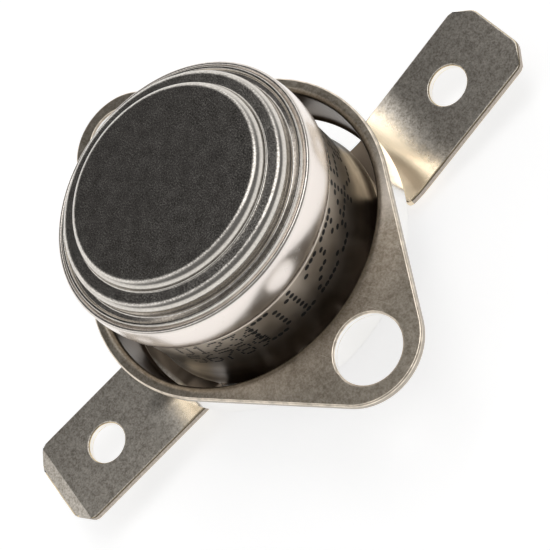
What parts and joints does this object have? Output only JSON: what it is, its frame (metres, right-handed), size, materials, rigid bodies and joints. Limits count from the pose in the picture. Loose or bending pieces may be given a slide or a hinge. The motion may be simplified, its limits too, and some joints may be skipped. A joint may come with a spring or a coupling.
{
  "type": "temperature limiter",
  "caption": "Snap-disc temperature limiter with a stepped metal sensing cap, a two-ear mounting flange and two push-on tab terminals.",
  "frame": {"origin": "centre of the sensing face, the cap's flat front", "axes": "+Z out of the sensing face, +X along the flange's ears; the terminals lie near +Y and -Y, turned 5.5 degrees"},
  "size_m": [0.0296, 0.0382, 0.0143],
  "materials": {
    "cap_steel": "satin front with polished edges and skirt",
    "sleeve_steel": "smooth, with plain printed figures",
    "flange_steel": "mottled plating, bright punched edges",
    "tinned_brass": "dull tin plating over brass",
    "ceramic": "unglazed ceramic",
    "pin_ceramic": "fine-ground ceramic",
    "bimetal": "rolled",
    "brass": "stamped, plain",
    "spring_bronze": "rolled",
    "contact_silver": "coined silver"
  },
  "bodies": {
    "case": {"sensor_cap": "cap_steel", "housing": "sleeve_steel", "mounting_flange": "flange_steel", "terminal_a": "tinned_brass", "terminal_b": "tinned_brass", "rivet_a": "tinned_brass", "rivet_b": "tinned_brass", "ceramic_base": "ceramic", "pin_guide": "ceramic", "bimetal_disc": "bimetal", "fixed_bracket": "brass", "fixed_contact": "contact_silver", "arm_bracket": "brass"},
    "pin": {"transfer_pin": "pin_ceramic"},
    "arm": {"contact_arm": "spring_bronze", "moving_contact": "contact_silver"}
  },
  "joints": [
    {"name": "arm_flex", "type": "hinge", "parent": "case", "child": "arm", "pos_m": [-0.00034, -0.00348, -0.007], "axis": [-0.9954, 0.0958, 0], "range_deg": [0, 8.2], "stiffness_Nm_per_rad": 0.002, "springref_deg": -5.73},
    {"name": "pin_slide", "type": "slide", "parent": "case", "child": "pin", "axis": [0, 0, -1], "range_m": [0, 0.0005], "deforming": ["bimetal_disc"]}
  ],
  "couplings": [
    {"joint": "arm_flex", "follows": "pin_slide", "rad_per_m": 285.71}
  ]
}
